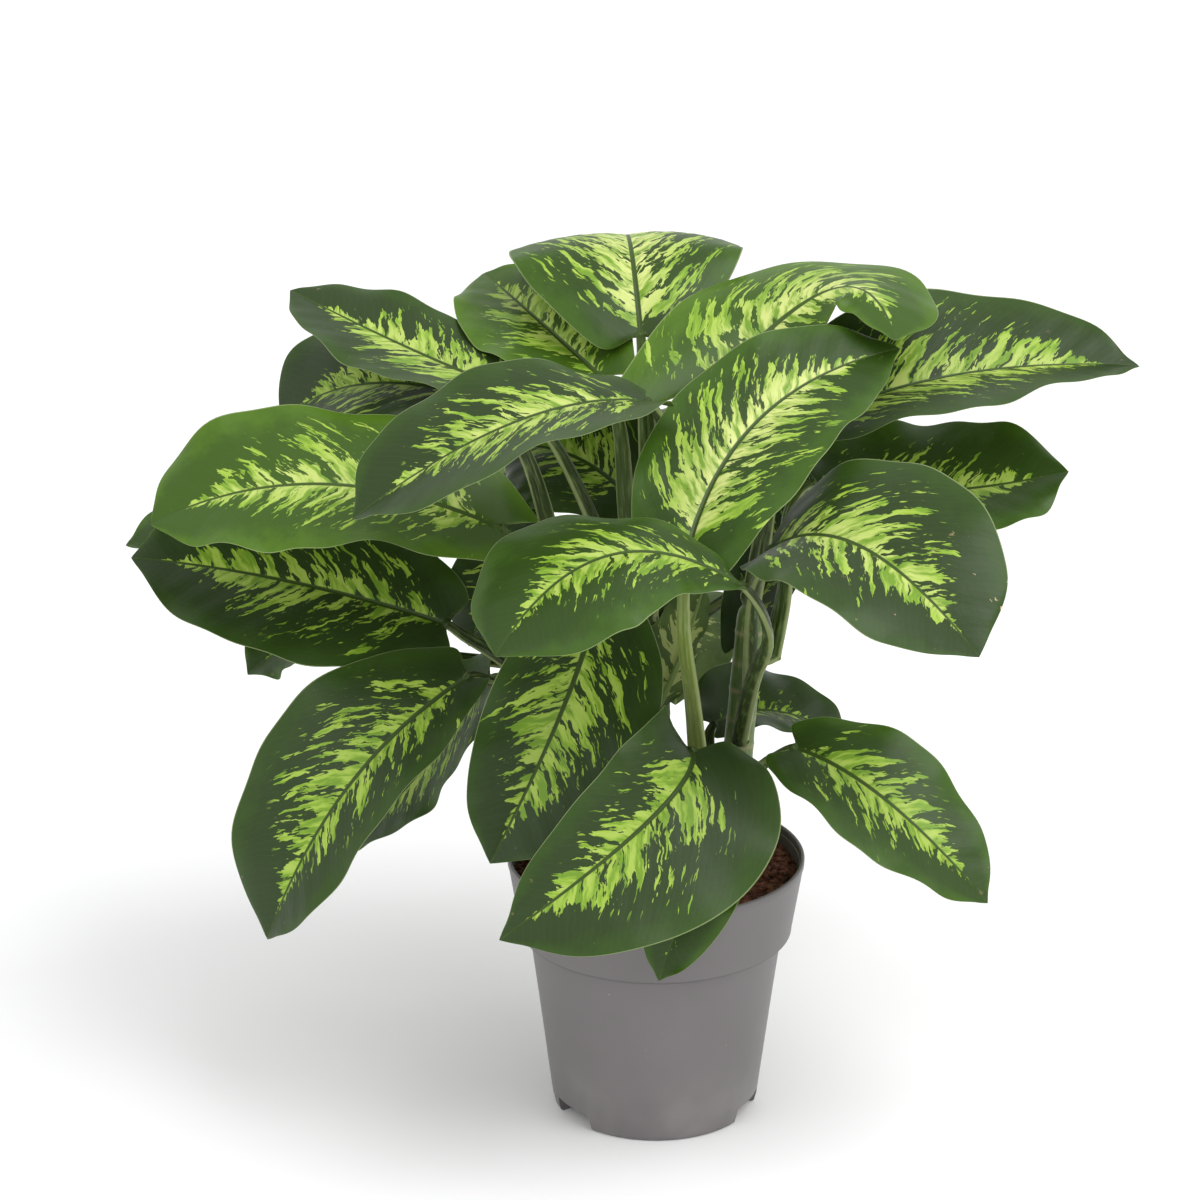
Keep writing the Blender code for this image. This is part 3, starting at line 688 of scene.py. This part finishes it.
def grow_leaf(node, seed, greens, reach=0.55, fullness=0.5, cream=0.2, scars=0.15, wave=0.0024):
    """Makes the leaf that stands for one leaf of the model."""
    foot, courses, tip = leaf_courses(node)
    spring, cane_way = nearest_on_cane(foot)
    stalk_middles = [sum(course, Vector()) / 8 for course in courses[:4]]
    middles = [spring - cane_way * 0.006, foot] + stalk_middles
    middles += [sum(courses[4], Vector()) / 8] + [course[2] for course in courses[5:]] + [tip]
    rights = [(course[4] - course[0]).normalized() for course in courses[:5]]
    rights = [rights[0], rights[0]] + rights
    girths = [0.0040, 0.0050] + [(course[4] - course[0]).length / 2 for course in courses[:5]]
    neck = len(girths) - 1
    blade_points = []
    for count, course in enumerate(courses[4:]):
        middle = middles[neck + count]
        if count == 0:
            out = rights[-1] * girths[-1]
            blade_points.append([out * -1.0, out * -INNER_SHARE, Vector(), out * INNER_SHARE, out])
        else:
            blade_points.append([course[slot] - middle for slot in range(5)])
    blade_points.append([Vector()] * 5)
    sides = list(zip(*blade_points))
    stalk_count = neck * STALK_ROWS
    levels = stalk_count + BLADE_COURSES * BLADE_ROWS

    def spot_at(level):
        if level <= stalk_count:
            return level / STALK_ROWS
        return neck + (level - stalk_count) / BLADE_ROWS

    shape = bmesh.new()
    bmesh.ops.create_uvsphere(shape, u_segments=2 * COLUMNS, v_segments=levels, radius=1.0)
    blade_data = shape.verts.layers.float_vector.new("blade")
    measure_data = shape.verts.layers.float_vector.new("measure")
    run = [0.0]
    for level in range(1, levels + 1):
        step = flow(middles, spot_at(level))[0] - flow(middles, spot_at(level - 1))[0]
        run.append(run[-1] + step.length)
    neck_run = run[stalk_count]
    blade_length = run[-1] - neck_run
    rows = []
    for level in range(levels + 1):
        on_blade = level > stalk_count
        spot = spot_at(level)
        middle, forward = flow(middles, spot)
        row = {"middle": middle, "forward": forward.normalized(), "blade": on_blade,
               "spot": spot}
        if on_blade:
            place = spot - neck
            slim = 1.0 - 0.30 * math.exp(-((place - 8.45) / 0.6) ** 2)
            row["sides"] = [flow(side, place)[0] * slim for side in sides]
            row["flat"] = smooth(place / 0.8)
            share = (run[level] - neck_run) / blade_length
            row["girth"] = 0.0026 * (1.0 - share) ** 0.8 + 0.0004
            row["share"] = share
        else:
            right = flow(rights, spot)[0].normalized()
            girth = flow([Vector((size, 0, 0)) for size in girths], spot)[0].x
            row["sides"] = [right * girth * out for out in (-1.0, -INNER_SHARE, 0.0, INNER_SHARE, 1.0)]
            row["flat"] = 0.0
            row["girth"] = girth
            row["share"] = 0.0
        rows.append(row)
    for vert in shape.verts:
        level = round(math.acos(max(-1.0, min(1.0, -vert.co.z))) / math.pi * levels)
        bearing = math.pi - math.atan2(vert.co.y, -vert.co.x)
        slot = round(bearing / math.tau * 2 * COLUMNS) % (2 * COLUMNS)
        on_top = slot <= COLUMNS
        t = -1.0 + 2.0 * slot / COLUMNS if on_top else 3.0 - 2.0 * slot / COLUMNS
        share = math.copysign(smooth(abs(t)), t)
        row = rows[level]
        place, slope = crossways(row["sides"], share)
        if slope.length < 1e-9:
            slope = row["forward"].orthogonal()
        up = slope.cross(row["forward"])
        if up.length < 1e-9:
            up = Vector((0, 0, 1))
        up.normalize()
        out = place.length
        girth = row["girth"]
        if row["blade"]:
            along = row["spot"] - neck
            swing = math.sin(along * 1.9 + seed * 2.1 + (1.7 if share > 0 else 0.0))
            swing += 0.5 * math.sin(along * 4.1 + seed * 5.3 + (0.6 if share > 0 else 0.0))
            lift = wave * abs(share) ** 3 * swing * smooth(along / 2.0) * smooth((9.0 - along) / 1.5)
            travel = run[level] - neck_run
            slant = travel - 0.75 * out - 6.0 * out * out
            quilt = 0.00024 * math.sin(slant * math.tau / 0.0190 + seed)
            quilt = quilt * smooth(out / 0.012) * (1.0 - abs(share) ** 6)
            lift += quilt * smooth(along / 1.5) * smooth((9.0 - along) / 2.0)
            thick = BLADE_THICKNESS * 0.5 * (1.0 - 0.8 * abs(share) ** 10)
            if level == levels:
                thick = 0.0
            round_rib = math.sqrt(max(0.0, girth ** 2 - out ** 2))
            if on_top:
                groove = 0.0006 * math.exp(-(out / 0.0014) ** 2) * (1.0 - row["share"])
                height = thick + (1.0 - row["flat"]) * max(0.0, round_rib - thick)
                height -= groove * row["flat"]
            else:
                height = -max(thick, round_rib)
            place = row["middle"] + place + up * (height + lift)
            vert[blade_data] = (row["share"], share, 0.0 if on_top else 1.0)
            vert[measure_data] = (travel, out if share > 0 else -out, 1.0 - row["flat"])
        else:
            height = math.sqrt(max(0.0, girth ** 2 - out ** 2))
            if on_top:
                groove = 0.35 * girth * math.exp(-(out / (0.4 * girth)) ** 2)
                height -= groove * smooth(run[level] / 0.02)
            else:
                height = -height
            fade = smooth((stalk_count - level) / (0.55 * stalk_count))
            wing = 0.0015 * smooth(level / 3) * fade
            wing *= max(0.0, (abs(share) - 0.75) / 0.25)
            side = row["sides"][4].normalized() * math.copysign(wing, share)
            place = row["middle"] + place + up * (height + wing * 0.7) + side
            if level == 0:
                place = row["middle"]
            vert[blade_data] = (0.0, share, 0.0 if on_top else 1.0)
            travel = run[level] - neck_run
            vert[measure_data] = (travel, out if share > 0 else -out, 1.0)
        vert.co = place
    bmesh.ops.recalc_face_normals(shape, faces=shape.faces)
    finish = leaf_finish(node.replace("_", " "), seed, reach, fullness, cream, scars, greens)
    return put_in_scene(node + "_skin", shape, [finish], [node])


# ---------------------------------------------------------------------------
# Front leaves: the low ones that hang over the pot and the big ones in the
# middle. Old leaves are nearly black-green, younger ones are fresher, and each
# has its own blotches.
# ---------------------------------------------------------------------------
LIGHT_STALK = (0.150, 0.205, 0.042, 1.0)
OLIVE_STALK = (0.052, 0.090, 0.014, 1.0)
DARK_STALK = (0.026, 0.046, 0.007, 1.0)
DEEP = ((0.021, 0.045, 0.007, 1.0), (0.029, 0.068, 0.006, 1.0), DARK_STALK)
MID = ((0.025, 0.058, 0.005, 1.0), (0.042, 0.100, 0.005, 1.0), OLIVE_STALK)
FRESH = ((0.038, 0.088, 0.004, 1.0), (0.068, 0.150, 0.005, 1.0), OLIVE_STALK)

grow_leaf("leaf_front_low", 1.0, DEEP, reach=0.56, fullness=0.50, cream=0.10)
grow_leaf("leaf_front_small", 2.3, MID, reach=0.45, fullness=0.10, cream=0.0)
grow_leaf("leaf_front_centre", 3.6, MID[:2] + (DARK_STALK,), reach=0.62, fullness=0.42, cream=0.20)
grow_leaf("leaf_centre_long", 4.1, MID[:2] + (LIGHT_STALK,), reach=0.72, fullness=0.60, cream=0.85)
grow_leaf("leaf_right_low_front", 5.7, MID, reach=0.58, fullness=0.55, cream=0.15)
grow_leaf("leaf_right_low_back", 6.2, DEEP, reach=0.40, fullness=0.10, cream=0.0)
grow_leaf("leaf_inner_upright", 7.9, MID, reach=0.80, fullness=0.55, cream=0.50)
grow_leaf("leaf_lower_middle", 8.4, DEEP, reach=0.66, fullness=0.50, cream=0.10)


# ---------------------------------------------------------------------------
# Left leaves: broad blades laid out in steps to the left, the lowest drooping
# beside the pot.
# ---------------------------------------------------------------------------
grow_leaf("leaf_left_big", 9.3, FRESH, reach=0.62, fullness=0.52, cream=0.45, wave=0.0040)
grow_leaf("leaf_left_low", 10.8, DEEP, reach=0.62, fullness=0.40, cream=0.10)
grow_leaf("leaf_lower_left", 11.5, DEEP, reach=0.62, fullness=0.42, cream=0.05)
grow_leaf("leaf_lower_left_back", 12.1, MID, reach=0.70, fullness=0.50, cream=0.20)
grow_leaf("leaf_left_behind", 13.6, DEEP, reach=0.55, fullness=0.45, cream=0.20)
grow_leaf("leaf_left_far", 14.2, MID, reach=0.55, fullness=0.40)
grow_leaf("leaf_left_inner", 15.4, DEEP, reach=0.60, fullness=0.45)
grow_leaf("leaf_left_hidden", 16.9, MID, reach=0.55, fullness=0.45)


# ---------------------------------------------------------------------------
# Crown leaves: the youngest, standing over the middle of the plant, with the
# most cream in them. One is still half rolled, and shows its pale back.
# ---------------------------------------------------------------------------
grow_leaf("leaf_top_centre", 17.3, MID, reach=0.72, fullness=0.55, cream=0.75)
grow_leaf("leaf_top_left", 18.8, FRESH, reach=0.62, fullness=0.50, cream=0.30)
grow_leaf("leaf_crown_curl", 19.5, FRESH, reach=0.78, fullness=0.56, cream=0.70)
grow_leaf("leaf_centre_left", 20.1, DEEP, reach=0.66, fullness=0.50, cream=0.50)
grow_leaf("leaf_left_upper", 21.7, DEEP, reach=0.66, fullness=0.50, cream=0.40)
grow_leaf("leaf_inner", 22.2, DEEP, reach=0.60, fullness=0.45, cream=0.20)


# ---------------------------------------------------------------------------
# Right leaves: long blades reaching out to the right, the front one turning
# down at its end.
# ---------------------------------------------------------------------------
grow_leaf("leaf_right_upper", 23.9, DEEP, reach=0.66, fullness=0.50, cream=0.35)
grow_leaf("leaf_right_mid", 24.4, MID, reach=0.55, fullness=0.45, cream=0.20, wave=0.0036)
grow_leaf("leaf_right_front", 25.2, DEEP, reach=0.62, fullness=0.52, cream=0.45, scars=1.0)
grow_leaf("leaf_right_behind", 26.7, DEEP, reach=0.60, fullness=0.45, wave=0.0004)


# ---------------------------------------------------------------------------
# Back leaves: the same kind of blade carried round behind, fewer and more open
# than at the front, so that stems show between them.
# ---------------------------------------------------------------------------
grow_leaf("leaf_back_centre", 27.3, MID, reach=0.62, fullness=0.50, cream=0.30)
grow_leaf("leaf_back_left", 28.6, DEEP, reach=0.60, fullness=0.48)
grow_leaf("leaf_back_right", 29.2, DEEP, reach=0.62, fullness=0.50, wave=0.0004)
grow_leaf("leaf_back_low", 30.8, MID, reach=0.58, fullness=0.50)


# ---------------------------------------------------------------------------
# Setting: a plain flat pale floor under an even white sky, a large soft lamp
# above and to the right, a weak one low on the left, and the camera.
# ---------------------------------------------------------------------------
floor_shape = bmesh.new()
bmesh.ops.create_grid(floor_shape, x_segments=1, y_segments=1, size=6.0)
floor_mesh = bpy.data.meshes.new("floor")
floor_shape.to_mesh(floor_mesh)
floor_shape.free()
floor = bpy.data.objects.new("floor", floor_mesh)
bpy.context.scene.collection.objects.link(floor)
floor_paper, tree, shader = new_finish("floor paper", Roughness=0.9, Specular_IOR_Level=0.1)
shader.inputs["Base Color"].default_value = (0.93, 0.93, 0.935, 1.0)
floor_mesh.materials.append(floor_paper)

sky = bpy.data.worlds.new("studio")
bpy.context.scene.world = sky
sky.use_nodes = True
sky.node_tree.nodes["Background"].inputs["Color"].default_value = (1.0, 1.0, 1.0, 1.0)
sky.node_tree.nodes["Background"].inputs["Strength"].default_value = 0.93


def soft_light(name, place, aim, size, power):
    lamp = bpy.data.lights.new(name, "AREA")
    lamp.shape = "DISK"
    lamp.size = size
    lamp.energy = power
    light = bpy.data.objects.new(name, lamp)
    light.location = place
    light.rotation_euler = (Vector(aim) - Vector(place)).to_track_quat("-Z", "Y").to_euler()
    bpy.context.scene.collection.objects.link(light)


PLANT_MIDDLE = (0.0, 0.0, 0.25)
soft_light("key_light", (2.6, -2.0, 5.2), PLANT_MIDDLE, 4.6, 205.0)
soft_light("fill_light", (-2.6, -2.4, 2.6), PLANT_MIDDLE, 2.4, 16.0)

lens = bpy.data.cameras.new("camera")
lens.lens = 115.0
lens.sensor_width = 36.0
camera = bpy.data.objects.new("camera", lens)
camera.location = (-0.032, -2.011, 1.040)
camera.rotation_euler = (math.radians(70.0), 0.0, 0.0)
bpy.context.scene.collection.objects.link(camera)
bpy.context.scene.camera = camera
bpy.context.scene.view_settings.view_transform = "Standard"
